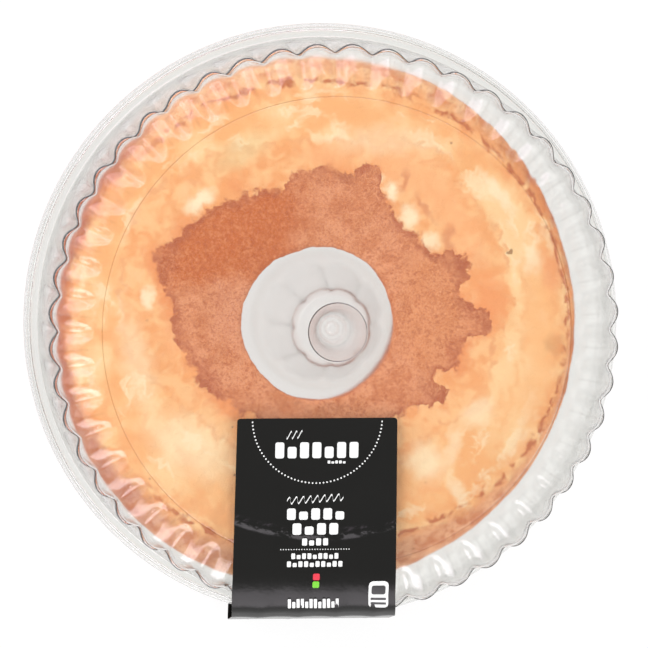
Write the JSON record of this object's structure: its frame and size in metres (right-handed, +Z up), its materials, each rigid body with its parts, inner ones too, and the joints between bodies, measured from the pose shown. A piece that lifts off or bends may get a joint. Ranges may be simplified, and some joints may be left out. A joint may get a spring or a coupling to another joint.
{
  "type": "angel food cake in a clear pack",
  "caption": "Round ring-shaped angel food cake sealed in a clear pack with a fluted dome lid, a clear base and a black wrap-over label.",
  "frame": {"origin": "on the surface the pack stands on, on the axis of its round dome and base", "axes": "+Z up along the pack's axis; -Y towards the label, which runs over the rim there; +X to the right as seen from the label's side"},
  "size_m": [0.248, 0.2486, 0.0846],
  "materials": {
    "sponge": "matte baked sponge, pale peach and cream with a browned ring round the hole",
    "clear_dome": "clear glossy formed plastic sheet",
    "clear_base": "clear glossy formed plastic sheet",
    "label_film": "black satin printed film with plain white, red and green shapes"
  },
  "bodies": {
    "root": {"cake": "sponge", "dome": "clear_dome", "base_tray": "clear_base", "label": "label_film"}
  },
  "joints": []
}
